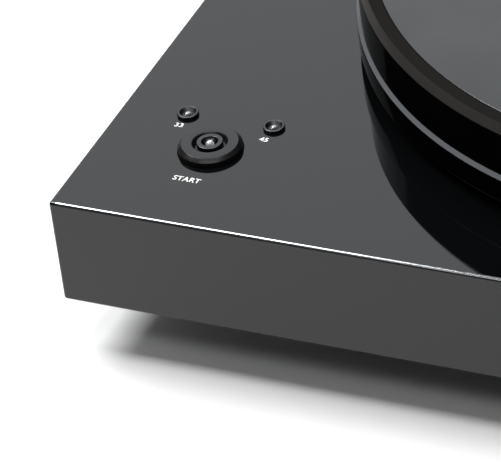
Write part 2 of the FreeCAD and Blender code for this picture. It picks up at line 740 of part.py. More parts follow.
def antiskate_dial():
    at = arm_at(*dial_place)
    knob = cylinder(8.0, 34.4, 41.0, at)
    knob = chamfered(knob, 0.7, lambda e: e.BoundBox.ZMin > top_z + 40.9)
    for k in range(24):
        a = math.radians(15 * k)
        groove = cylinder(0.45, 35.6, 42, (at[0] + 8.15 * math.cos(a), at[1] + 8.15 * math.sin(a)))
        knob = knob.cut(groove)
    pointer = block(at[0] - 0.4, at[0] + 0.4, at[1] + 2.0, at[1] + 9, 40.5, 42)
    return knob.cut(pointer)


# ---- tonearm: moving parts ----------------------------------------------------------------------
def gimbal_yoke():
    disc = cylinder(14.5, 42.0, 46.0, pivot)
    shaft = cylinder(3.0, 6.0, 42.0, pivot)
    collar = cylinder(5.0, 38.0, 42.0, pivot)
    uprights = [arm_block(-6.5, 6.5, v, v + 3.5, 42.0, arm_axis_t + 7) for v in (-16.5, 13.0)]
    uprights = [softened(u, 0.6) for u in uprights]
    body = disc
    for piece in (shaft, collar, *uprights):
        body = body.fuse(piece)
    seat = rod(3.4, on_arm(0, -20, arm_axis_t), on_arm(0, 20, arm_axis_t))
    return body.removeSplitter().cut(seat)


def pivot_bearings():
    return [rod(3.4, on_arm(0, v, arm_axis_t), on_arm(0, v + 3.5, arm_axis_t)).cut(
        rod(1.2 + running, on_arm(0, v - 1, arm_axis_t), on_arm(0, v + 5, arm_axis_t))) for v in (-16.5, 13.0)]


def pivot_block():
    """Block on the tilt axle, with the stub at its rear that carries the counterweight."""
    body = chamfered(arm_block(-9, tube_start_u, -9, 9, arm_axis_t - 7, arm_axis_t + 7), 1.2)
    axle = rod(1.2, on_arm(0, -16.2, arm_axis_t), on_arm(0, 16.2, arm_axis_t))
    stub = rod(4.0, on_arm(-8, 0, arm_axis_t), on_arm(-66, 0, arm_axis_t))
    stub = chamfered(stub, 0.6, lambda edge: edge.BoundBox.YMin > pivot[1] + 60)
    return body.fuse(axle).fuse(stub).removeSplitter()


def arm_tube():
    start = Vector(*on_arm(tube_start_u, 0, 0)[:2], top_z + arm_axis_t)
    length = tube_end_u - tube_start_u
    outer = Part.makeCone(tube_root_radius, tube_tip_radius, length, start, Vector(0, -1, 0))
    inner = Part.makeCone(tube_root_radius - 0.9, tube_tip_radius - 0.9, length, start, Vector(0, -1, 0))
    return outer.cut(inner)


def headshell():
    low, high = headshell_t
    plate = arm_block(headshell_rear_u - 2, headshell_rear_u + 38, -9, 9, low, high)
    plate = softened(plate, 3.0, is_vertical)
    for w in cartridge_screw_w:
        slot = arm_block(headshell_rear_u + 8, headshell_rear_u + 24, w - 1.35, w + 1.35, low - 3, high + 3)
        plate = plate.cut(softened(slot, 1.3, is_vertical))
    plate = turned_to_headshell(plate)
    neck = rod(tube_tip_radius, on_arm(tube_end_u, 0, arm_axis_t), on_arm(tube_end_u + 7, 0, arm_axis_t))
    neck = neck.common(block(-400, 400, -400, 400, low, arm_axis_t + 1.6))
    plug = rod(tube_tip_radius - 0.95, on_arm(tube_end_u - 6, 0, arm_axis_t),
               on_arm(tube_end_u + 1, 0, arm_axis_t))
    behind = arm_block(tube_end_u - 20, tube_end_u, -20, 20, low - 5, high + 5)
    return plate.cut(behind).fuse(neck).fuse(plug).removeSplitter()


def finger_lift():
    middle = (headshell_t[0] + headshell_t[1]) / 2
    return cable([on_headshell(20, 9.0, middle), on_headshell(20, 15.5, middle),
                  on_headshell(22, 22.0, middle + 3.5)], 1.0)


def cartridge_body():
    top = headshell_t[0]
    upper = head_block(4, 32, -8.4, 8.4, top - 8.0, top)
    lower = head_block(6, 29, -6.8, 6.8, top - 13.4, top - 8.0)
    body = softened(upper.fuse(lower).removeSplitter(), 0.6)
    for w in cartridge_screw_w:
        body = body.cut(cylinder(1.25, top - 3, top + 5, on_headshell(16, w, 0)[:2]))
    return body


def stylus_unit():
    """Removable stylus: its holder under the cartridge, the cantilever and the tip."""
    top = headshell_t[0] - 13.4
    holder = softened(head_block(9, 26, -4.6, 4.6, top - 2.0, top), 0.4)
    holder = holder.cut(head_block(17, 30, -1.6, 1.6, top - 4, top - 0.6))
    tip_t = arm_axis_t - stylus_drop
    x, y, _ = on_headshell(stylus_h, 0, 0)
    cantilever = rod(0.3, on_headshell(15, 0, top - 1.0), (x, y, tip_t + 0.8))
    tip = Part.makeCone(0.12, 0.4, 0.9, Vector(x, y, top_z + tip_t), Vector(0, 0, 1))
    return holder.fuse(cantilever).fuse(tip).removeSplitter()


def cartridge_screws():
    high = headshell_t[1]
    screws = []
    for w in cartridge_screw_w:
        x, y = on_headshell(16, w, 0)[:2]
        head = cylinder(2.3, high, high + 1.6, (x, y))
        head = softened(head, 0.3, lambda edge: edge.BoundBox.ZMin > top_z + high + 1.5)
        shank = cylinder(1.2, high - 5.4, high, (x, y))
        slot = block(x - 3, x + 3, y - 0.3, y + 0.3, high + 0.9, high + 3)
        screws.append(head.fuse(shank).cut(slot).removeSplitter())
    return screws


def arm_disc(radius, u, length):
    """Disc on the arm's axis, running forwards from u for its length."""
    return rod(radius, on_arm(u, 0, arm_axis_t), on_arm(u + length, 0, arm_axis_t))


def counterweight():
    """Weight sliding on the stub, with a turned groove near its rear end."""
    groove = arm_disc(18.0, -41.2, 1.2).cut(arm_disc(16.3, -41.2, 1.2))
    return chamfered(arm_disc(17.0, -47.0, 22.0), 0.9).cut(groove).cut(arm_disc(4.0 + running, -51.0, 30.0))


def force_dial():
    return chamfered(arm_disc(14.2, -24.4, 5.0), 0.6).cut(arm_disc(4.0 + running, -27.4, 10.0))


nodes = {
    "plinth": plinth, "bottom_cover": bottom_cover, "cover_screws": cover_screws,
    "foot_bodies": foot_bodies, "foot_pads": foot_pads, "foot_screws": foot_screws,
    "bearing_housing": bearing_housing, "bearing_bushes": bearing_bushes, "bearing_nut": bearing_nut,
    "thrust_ball": thrust_ball, "bearing_spindle": bearing_spindle, "subplatter": subplatter,
    "platter": platter, "record_mat": record_mat,
    "drive_belt": drive_belt, "motor_pulley": motor_pulley, "motor_rotor": motor_rotor, "motor_can": motor_can,
    "motor_isolators": motor_isolators, "motor_screws": motor_screws,
    "start_button": start_button, "button_retainer": button_retainer,
    "start_switch": start_switch, "switch_board": switch_board, "board_screws": board_screws,
    "start_lamp_bezel": lambda: lamp_bezel(start_centre, 1.0, 4.5, 2.4, 1.6),
    "start_lamp": lambda: lamp(start_centre, 3.4, -4.4),
    "lamp_bezels": lambda: [lamp_bezel(at, 0.0, 3.75, 1.2, 0.8) for at in led_centres.values()],
    "speed_lamps": lambda: [lamp(at, 0.9, switch_board_t + 0.1) for at in led_centres.values()],
    "control_board": control_board, "wiring": wiring,
    "connection_panel": connection_panel, "panel_screws": panel_screws,
    "rca_sockets": lambda: [rca_socket(x) for x in rca_places.values()],
    "ground_post": ground_post, "ground_nut": ground_nut, "dc_inlet": dc_inlet,
    "arm_base": arm_base, "arm_base_screws": arm_base_screws, "height_lock_screw": height_lock_screw,
    "arm_pillar": arm_pillar, "swing_bearings": swing_bearings, "arm_platform": arm_platform,
    "lift_cylinder": lift_cylinder, "lift_bar": lift_bar, "cue_lever": cue_lever, "arm_rest": arm_rest,
    "antiskate_dial": antiskate_dial, "gimbal_yoke": gimbal_yoke, "pivot_bearings": pivot_bearings,
    "pivot_block": pivot_block, "arm_tube": arm_tube, "headshell": headshell, "finger_lift": finger_lift,
    "cartridge_body": cartridge_body, "stylus_unit": stylus_unit, "cartridge_screws": cartridge_screws,
    "counterweight": counterweight, "force_dial": force_dial,
}

for node, make in nodes.items():
    save(node, make())
print(len(nodes), "nodes")
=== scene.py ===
import bmesh
import bpy
import json
import math
from mathutils import Matrix, Vector

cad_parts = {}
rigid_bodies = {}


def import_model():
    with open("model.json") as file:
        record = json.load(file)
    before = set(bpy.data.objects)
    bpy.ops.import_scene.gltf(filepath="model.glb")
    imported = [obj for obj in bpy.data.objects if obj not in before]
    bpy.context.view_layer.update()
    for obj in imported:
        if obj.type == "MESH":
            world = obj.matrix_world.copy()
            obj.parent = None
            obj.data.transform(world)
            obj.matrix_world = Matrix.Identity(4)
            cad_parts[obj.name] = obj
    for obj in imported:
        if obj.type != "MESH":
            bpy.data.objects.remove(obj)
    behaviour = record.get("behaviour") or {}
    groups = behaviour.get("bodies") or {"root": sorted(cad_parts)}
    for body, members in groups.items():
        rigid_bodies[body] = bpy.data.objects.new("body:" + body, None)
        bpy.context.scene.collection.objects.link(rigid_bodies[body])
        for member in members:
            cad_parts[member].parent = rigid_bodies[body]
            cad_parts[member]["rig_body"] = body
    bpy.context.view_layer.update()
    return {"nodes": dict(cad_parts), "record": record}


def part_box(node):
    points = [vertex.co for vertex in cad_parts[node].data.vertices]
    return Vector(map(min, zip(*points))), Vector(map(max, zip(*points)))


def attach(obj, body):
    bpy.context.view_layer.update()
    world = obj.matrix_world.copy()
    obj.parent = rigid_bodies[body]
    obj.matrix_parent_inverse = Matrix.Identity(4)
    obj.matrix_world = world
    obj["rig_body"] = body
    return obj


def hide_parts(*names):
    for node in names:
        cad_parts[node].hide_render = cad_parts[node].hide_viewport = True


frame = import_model()

mm = 0.001
plinthLow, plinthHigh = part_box("plinth")
plinthTop = plinthHigh.z
frontLeft = Vector((plinthLow.x, plinthLow.y))
nodeSlots = {part["node"]: part["material_slot"] for part in frame["record"]["subparts"]}

cameraView = {
    "place": (0.287373, -1.023181, 0.754646),
    "azimuth": 27.573,       # degrees, turned left from looking straight back
    "elevation": 35.758,
    "roll": -7.258,
    "lens": 264.78,
}


def placeCamera():
    turn, tilt, roll = (math.radians(cameraView[k]) for k in ("azimuth", "elevation", "roll"))
    forward = Vector((-math.sin(turn) * math.cos(tilt), math.cos(turn) * math.cos(tilt), -math.sin(tilt)))
    right = Vector((math.cos(turn), math.sin(turn), 0))
    up = right.cross(forward)
    rolledRight = math.cos(roll) * right + math.sin(roll) * up
    rolledUp = -math.sin(roll) * right + math.cos(roll) * up
    camera = bpy.data.objects.new("studioCamera", bpy.data.cameras.new("studioCamera"))
    camera.data.lens = cameraView["lens"]
    camera.data.sensor_width = 36
    camera.data.clip_end = 50
    basis = Matrix((rolledRight, rolledUp, -forward)).transposed().to_4x4()
    camera.matrix_world = Matrix.Translation(cameraView["place"]) @ basis
    bpy.context.scene.collection.objects.link(camera)
    bpy.context.scene.camera = camera


placeCamera()
print("camera placed")

# plain soft light from boxes above, left, behind and in front
studio = {
    "skyTone": (1.0, 1.0, 1.0),
    "skyStrength": 0.08,
    "floorTone": (0.82, 0.82, 0.82),
    "softboxes": {
        # name: place, what it faces, size, watts, colour
        "softboxTop": ((0.1, 0.1, 2.0), (0.05, 0.1, 0.0), (1.4, 1.2), 24.0, (1, 1, 1)),
        "softboxLeft": ((-1.18, -0.1, 1.68), (-0.19, -0.13, 0.06), (0.9, 0.9), 42.0, (1, 1, 1)),
        "softboxBack": ((-0.87, 1.16, 1.11), (-0.19, -0.13, 0.06), (1.8, 1.6), 11.6, (0.95, 0.975, 1)),
        "softboxFront": ((0.06, -1.106, 1.55), (-0.19, -0.13, 0.06), (1.8, 0.4), 5.4, (1, 1, 1)),
    },
}


def buildStudio():
    world = bpy.data.worlds.new("studioSky")
    world.use_nodes = True
    background = world.node_tree.nodes["Background"]
    background.inputs["Color"].default_value = (*studio["skyTone"], 1)
    background.inputs["Strength"].default_value = studio["skyStrength"]
    bpy.context.scene.world = world
    bpy.context.scene.view_settings.view_transform = "Standard"
    for name, (place, faces, size, watts, colour) in studio["softboxes"].items():
        light = bpy.data.lights.new(name, "AREA")
        light.shape = "RECTANGLE"
        light.size, light.size_y = size
        light.energy = watts
        light.color = colour
        lamp = bpy.data.objects.new(name, light)
        lamp.location = place
        lamp.rotation_euler = (Vector(faces) - Vector(place)).to_track_quat("-Z", "Y").to_euler()
        bpy.context.scene.collection.objects.link(lamp)


buildStudio()
print("studio lit")


class Finish:
    # a material with the few node moves that every finish here needs
    def __init__(self, name):
        self.material = bpy.data.materials.new(name)
        self.material.use_nodes = True
        self.nodes = self.material.node_tree.nodes
        self.links = self.material.node_tree.links
        self.shader = self.nodes["Principled BSDF"]
        self.place = self.nodes.new("ShaderNodeTexCoord").outputs["Object"]

    def fixed(self, **values):
        for socket, value in values.items():
            self.shader.inputs[socket.replace("_", " ")].default_value = value
        return self

    def stretched(self, scale, offset=(0, 0, 0)):
        mapping = self.nodes.new("ShaderNodeMapping")
        mapping.inputs["Scale"].default_value = scale
        mapping.inputs["Location"].default_value = offset
        self.links.new(self.place, mapping.inputs["Vector"])
        return mapping.outputs["Vector"]

    def noise(self, scale, detail=4.0, place=None):
        texture = self.nodes.new("ShaderNodeTexNoise")
        texture.inputs["Scale"].default_value = scale
        texture.inputs["Detail"].default_value = detail
        self.links.new(place or self.place, texture.inputs["Vector"])
        return texture.outputs["Fac"]

    def ringDistance(self, centre, axis):
        # distance from a line through centre along axis 0, 1 or 2
        scale = [1, 1, 1]
        scale[axis] = 0
        offset = [-c * s for c, s in zip(centre, scale)]
        length = self.nodes.new("ShaderNodeVectorMath")
        length.operation = "LENGTH"
        self.links.new(self.stretched(scale, offset), length.inputs[0])
        return length.outputs["Value"]

    def lathed(self, centre, axis, scale):
        # fine lines that run round the piece, as the turning tool leaves them
        lines = self.nodes.new("ShaderNodeTexNoise")
        lines.noise_dimensions = "1D"
        lines.inputs["Scale"].default_value = scale
        lines.inputs["Detail"].default_value = 3.0
        self.links.new(self.ringDistance(centre, axis), lines.inputs["W"])
        return lines.outputs["Fac"]

    def between(self, source, low, high, fromTone, toTone):
        ramp = self.nodes.new("ShaderNodeValToRGB")
        ramp.color_ramp.elements[0].position = low
        ramp.color_ramp.elements[1].position = high
        ramp.color_ramp.elements[0].color = (*fromTone, 1)
        ramp.color_ramp.elements[1].color = (*toTone, 1)
        self.links.new(source, ramp.inputs["Fac"])
        return ramp.outputs["Color"]

    def span(self, source, low, high):
        reach = self.nodes.new("ShaderNodeMapRange")
        reach.inputs["To Min"].default_value = low
        reach.inputs["To Max"].default_value = high
        self.links.new(source, reach.inputs["Value"])
        return reach.outputs["Result"]

    def tone(self, source, low, high, fromTone, toTone):
        self.links.new(self.between(source, low, high, fromTone, toTone), self.shader.inputs["Base Color"])
        return self

    def roughness(self, source, low, high):
        self.links.new(self.span(source, low, high), self.shader.inputs["Roughness"])
        return self

    def bump(self, source, distance, strength=1.0):
        bump = self.nodes.new("ShaderNodeBump")
        bump.inputs["Distance"].default_value = distance
        bump.inputs["Strength"].default_value = strength
        self.links.new(source, bump.inputs["Height"])
        previous = self.shader.inputs["Normal"]
        if previous.is_linked:
            self.links.new(previous.links[0].from_socket, bump.inputs["Normal"])
        self.links.new(bump.outputs["Normal"], previous)
        return self


def glossLacquer(name, settings):
    finish = Finish(name).fixed(IOR=settings["ior"], Coat_Weight=settings["coat"], Coat_Roughness=0.01)
    depth = settings["depth"]
    finish.tone(finish.noise(9), 0.3, 0.7, depth, [c * 1.25 for c in depth])
    finish.roughness(finish.noise(60), *settings["polish"])
    return finish.bump(finish.noise(220, 2.0), settings["orangePeel"]).material


def paintedLightBands(name, bands, ior, polish):
    # base tone that changes with height, painting highlights and reflections in as colour: bands are (from
    # height, tone), lowest first
    finish = Finish(name).fixed(IOR=ior)
    height = finish.nodes.new("ShaderNodeSeparateXYZ")
    finish.links.new(finish.place, height.inputs["Vector"])
    lowest, highest = bands[0][0], bands[-1][0] + 0.001
    reach = finish.nodes.new("ShaderNodeMapRange")
    reach.inputs["From Min"].default_value = lowest
    reach.inputs["From Max"].default_value = highest
    finish.links.new(height.outputs["Z"], reach.inputs["Value"])
    ramp = finish.nodes.new("ShaderNodeValToRGB")
    ramp.color_ramp.interpolation = "CONSTANT"
    for i, (start, tone) in enumerate(bands):
        position = (start - lowest) / (highest - lowest)
        mark = ramp.color_ramp.elements[0] if i == 0 else ramp.color_ramp.elements.new(position)
        mark.position = position
        mark.color = (*tone, 1)
    ramp.color_ramp.elements.remove(ramp.color_ramp.elements[-1])
    finish.links.new(reach.outputs["Result"], ramp.inputs["Fac"])
    finish.links.new(ramp.outputs["Color"], finish.shader.inputs["Base Color"])
    return finish.roughness(finish.noise(60), *polish).material


def dullBlack(name, settings):
    finish = Finish(name).fixed(Base_Color=(*settings["depth"], 1), IOR=settings["ior"])
    return finish.roughness(finish.noise(60), *settings["polish"]).material


def mouldedPlastic(name, tone, polish=(0.38, 0.5), grain=0.00002):
    finish = Finish(name).fixed(IOR=1.49)
    finish.tone(finish.noise(35), 0.3, 0.7, tone, [c * 1.3 + 0.002 for c in tone])
    finish.roughness(finish.noise(180), *polish)
    return finish.bump(finish.noise(2600, 2.0), grain).material


def softRubber(name, tone):
    finish = Finish(name).fixed(IOR=1.45, Sheen_Weight=0.08, Sheen_Roughness=0.5)
    finish.tone(finish.noise(60), 0.3, 0.75, tone, [c * 1.5 + 0.004 for c in tone])
    finish.roughness(finish.noise(120), 0.62, 0.82)
    return finish.bump(finish.noise(1500, 3.0), 0.00003).material


def platedSteel(name, tone, polish=(0.2, 0.34)):
    finish = Finish(name).fixed(Metallic=1.0)
    finish.tone(finish.noise(70), 0.3, 0.7, [c * 0.86 for c in tone], tone)
    finish.roughness(finish.noise(240), *polish)
    return finish.bump(finish.noise(900, 2.0), 0.000012).material


def turnedMetal(name, tone, centre, axis, polish=(0.16, 0.3), lines=900, depth=0.00001):
    finish = Finish(name).fixed(Metallic=1.0)
    toolMarks = finish.lathed(centre, axis, lines)
    finish.tone(toolMarks, 0.3, 0.7, [c * 0.84 for c in tone], tone)
    finish.roughness(finish.noise(160), *polish)
    return finish.bump(toolMarks, depth).material


def anodised(name, tone, along, polish=(0.26, 0.36)):
    # fine blasted grain, drawn out a little along one axis
    finish = Finish(name).fixed(Metallic=0.9)
    grain = finish.noise(700, 3.0, finish.stretched(along))
    finish.tone(finish.noise(40), 0.3, 0.7, [c * 0.9 for c in tone], tone)
    finish.roughness(grain, *polish)
    return finish.bump(grain, 0.000008).material


def clearLens(name, tone, polish):
    finish = Finish(name).fixed(IOR=1.5, Transmission_Weight=0.55)
    finish.tone(finish.noise(400), 0.3, 0.7, [c * 0.85 for c in tone], tone)
    return finish.roughness(finish.noise(900), *polish).material


def solderMask(name):
    finish = Finish(name).fixed(Coat_Weight=0.3, Coat_Roughness=0.2, IOR=1.5)
    tracks = finish.nodes.new("ShaderNodeTexBrick")
    tracks.inputs["Scale"].default_value = 60
    tracks.inputs["Mortar Size"].default_value = 0.03
    tracks.inputs["Color1"].default_value = (0.008, 0.05, 0.022, 1)
    tracks.inputs["Color2"].default_value = (0.01, 0.065, 0.028, 1)
    tracks.inputs["Mortar"].default_value = (0.02, 0.13, 0.05, 1)
    finish.links.new(finish.place, tracks.inputs["Vector"])
    finish.links.new(tracks.outputs["Color"], finish.shader.inputs["Base Color"])
    finish.roughness(finish.noise(300), 0.3, 0.45)
    return finish.bump(tracks.outputs["Fac"], 0.00003).material


def sinteredBronze(name):
    finish = Finish(name).fixed(Metallic=1.0)
    pores = finish.nodes.new("ShaderNodeTexVoronoi")
    pores.inputs["Scale"].default_value = 1800
    finish.links.new(finish.place, pores.inputs["Vector"])
    finish.tone(pores.outputs["Distance"], 0.1, 0.5, (0.3, 0.18, 0.09), (0.6, 0.4, 0.22))
    finish.roughness(finish.noise(400), 0.4, 0.6)
    return finish.bump(pores.outputs["Distance"], 0.00003).material


def pressedBoard(name, tone):
    finish = Finish(name).fixed(IOR=1.45)
    fibres = finish.noise(300, 6.0, finish.stretched((1, 0.25, 1)))
    finish.tone(fibres, 0.35, 0.7, tone, [c * 1.9 + 0.004 for c in tone])
    finish.roughness(finish.noise(80), 0.55, 0.75)
    return finish.bump(fibres, 0.00006).material


def printedInk(name, tone):
    finish = Finish(name).fixed(IOR=1.45)
    finish.tone(finish.noise(900), 0.3, 0.7, [c * 0.94 for c in tone], tone)
    return finish.roughness(finish.noise(500), 0.45, 0.6).material


def braidedLeads(name):
    finish = Finish(name).fixed(IOR=1.46)
    braid = finish.nodes.new("ShaderNodeTexWave")
    braid.inputs["Scale"].default_value = 900
    braid.inputs["Distortion"].default_value = 2.0
    finish.links.new(finish.place, braid.inputs["Vector"])
    finish.tone(braid.outputs["Fac"], 0.2, 0.8, (0.008, 0.008, 0.009), (0.03, 0.03, 0.032))
    finish.roughness(finish.noise(300), 0.45, 0.6)
    return finish.bump(braid.outputs["Fac"], 0.00008).material


lacquer = {"depth": (0.0016, 0.0018, 0.002), "ior": 1.5, "coat": 0.0, "polish": (0.02, 0.045),
           "orangePeel": 0.0000012}
startGloss = {"depth": (0.004, 0.004, 0.0043), "ior": 1.46, "coat": 0.0, "polish": (0.24, 0.3),
              "orangePeel": 0.0000008}
rimDull = {"depth": (0.01, 0.0095, 0.009), "ior": 1.05, "polish": (0.5, 0.6)}
platterPaintedHighlights = {
    "ior": 1.06, "polish": (0.06, 0.1),
    # height above the plinth in millimetres and tone: skirt, painted highlight on the step, wall, painted
    # reflection tone on the chamfer
    "bands": ((0.0, (0.001, 0.001, 0.0011)), (13.7, (0.095, 0.1, 0.106)), (14.85, (0.001, 0.001, 0.0011)),
              (30.9, (0.024, 0.023, 0.0215))),
}


def middleOf(node):
    low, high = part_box(node)
    return (low + high) / 2


platterMiddle = middleOf("platter")
armAxis = middleOf("counterweight")
startMiddle = middleOf("start_button")

finishes = {
    "lacquer_black": glossLacquer("pianoLacquer", lacquer),
    "cover_board": pressedBoard("underCoverBoard", (0.016, 0.016, 0.017)),
    "screw_black": platedSteel("blackOxideScrew", (0.06, 0.06, 0.065), (0.28, 0.42)),
    "foot_plastic": mouldedPlastic("footMoulding", (0.01, 0.01, 0.011), (0.2, 0.3)),
    "foot_rubber": softRubber("footRubber", (0.014, 0.014, 0.014)),
    "bearing_brass": turnedMetal("turnedBrass", (0.62, 0.43, 0.18), platterMiddle, 2),
    "bush_bronze": sinteredBronze("sinteredBronze"),
    "steel_bright": turnedMetal("brightSteel", (0.6, 0.6, 0.62), platterMiddle, 2, (0.1, 0.2)),
    "subplatter_plastic": mouldedPlastic("subplatterMoulding", (0.02, 0.02, 0.022)),
    # the platter's step highlight and chamfer reflection are painted into its base colour by height
    "platter_gloss": paintedLightBands(
        "platterPaintedHighlights", [(plinthTop + height * mm, tone) for height, tone in platterPaintedHighlights["bands"]],
        platterPaintedHighlights["ior"], platterPaintedHighlights["polish"]),
    "mat_black": mouldedPlastic("matSurface", (0.018, 0.018, 0.019), (0.16, 0.22), 0.000004),
    "belt_rubber": softRubber("beltRubber", (0.008, 0.008, 0.008)),
    "motor_steel": platedSteel("zincPlate", (0.5, 0.5, 0.5)),
    "button_black": glossLacquer("startDiscGloss", startGloss),
    "switch_plastic": mouldedPlastic("switchMoulding", (0.014, 0.014, 0.016)),
    "board_green": solderMask("solderMask"),
    # the start lamp's lens gets a light grey base that stands in for the lamp being lit: painted glow
    "lamp_lens": clearLens("lampLens", (0.6, 0.62, 0.65), (0.06, 0.14)),
    "black_chrome": platedSteel("blackChrome", (0.075, 0.076, 0.08), (0.24, 0.32)),
    "loom_black": braidedLeads("loomSleeve"),
    "panel_black": mouldedPlastic("panelPaint", (0.012, 0.012, 0.013), (0.42, 0.52), 0.00003),
    "socket_gold": turnedMetal("goldPlate", (0.85, 0.6, 0.22), (0, 0, 0), 1, (0.12, 0.2)),
    "arm_black": anodised("armBlackAnodised", (0.035, 0.035, 0.038), (1, 1, 1)),
    "arm_silver": anodised("armSilverAnodised", (0.62, 0.62, 0.64), (1, 0.12, 1), (0.2, 0.3)),
    "cartridge_plastic": mouldedPlastic("cartridgeMoulding", (0.012, 0.012, 0.014), (0.22, 0.32)),
    "stylus_plastic": mouldedPlastic("stylusMoulding", (0.22, 0.012, 0.014), (0.14, 0.22)),
}
smokedLens = clearLens("smokedLens", (0.05, 0.05, 0.055), (0.3, 0.4))
edgePolish = platedSteel("polishedEdge", (0.3, 0.31, 0.32), (0.12, 0.16))
rimFinish = dullBlack("platterRimBand", rimDull)
inkWhite = printedInk("legendInk", (0.86, 0.86, 0.86))
insulatorRed = mouldedPlastic("insulatorRed", (0.5, 0.02, 0.02), (0.3, 0.4))
insulatorWhite = mouldedPlastic("insulatorWhite", (0.75, 0.75, 0.73), (0.3, 0.4))

for nodeName, node in frame["nodes"].items():
    for materialSlot in node.material_slots:
        materialSlot.material = finishes[nodeSlots[nodeName]]
print("finishes mixed:", len(bpy.data.materials))


def roundedOutline(corners, steps=5):
    # closed outline from (radius, height, rounding) corners in millimetres
    outline = []
    for i, (radius, height, rounding) in enumerate(corners):
        here = Vector((radius, height, 0))
        if rounding <= 0:
            outline.append(here)
            continue
        before, after = corners[i - 1], corners[(i + 1) % len(corners)]
        toBefore = (Vector((before[0], before[1], 0)) - here).normalized()
        toAfter = (Vector((after[0], after[1], 0)) - here).normalized()
        half = toBefore.angle(toAfter) / 2
        middle = here + (toBefore + toAfter).normalized() * rounding / math.sin(half)
        first = here + toBefore * rounding / math.tan(half) - middle
        last = here + toAfter * rounding / math.tan(half) - middle
        outline += [middle + rounding * first.normalized().slerp(last.normalized(), k / steps)
                    for k in range(steps + 1)]
    return outline


def addSockets(tree, inputs):
    tree.interface.new_socket(name="Start", in_out="INPUT", socket_type="NodeSocketGeometry")
    for name, kind, value in inputs:
        socket = tree.interface.new_socket(name=name, in_out="INPUT", socket_type="NodeSocket" + kind)
        if value is not None:
            socket.default_value = value
    tree.interface.new_socket(name="Piece", in_out="OUTPUT", socket_type="NodeSocketGeometry")
    return tree.nodes.new("NodeGroupInput").outputs, tree.nodes.new("NodeGroupOutput").inputs["Piece"]


def mathNode(tree, operation, first, second=0.0, third=None):
    node = tree.nodes.new("ShaderNodeMath")
    node.operation = operation
    for socket, value in zip(node.inputs, (first, second, third)):
        if value is None:
            continue
        if isinstance(value, (int, float)):
            socket.default_value = value
        else:
            tree.links.new(value, socket)
    return node.outputs["Value"]


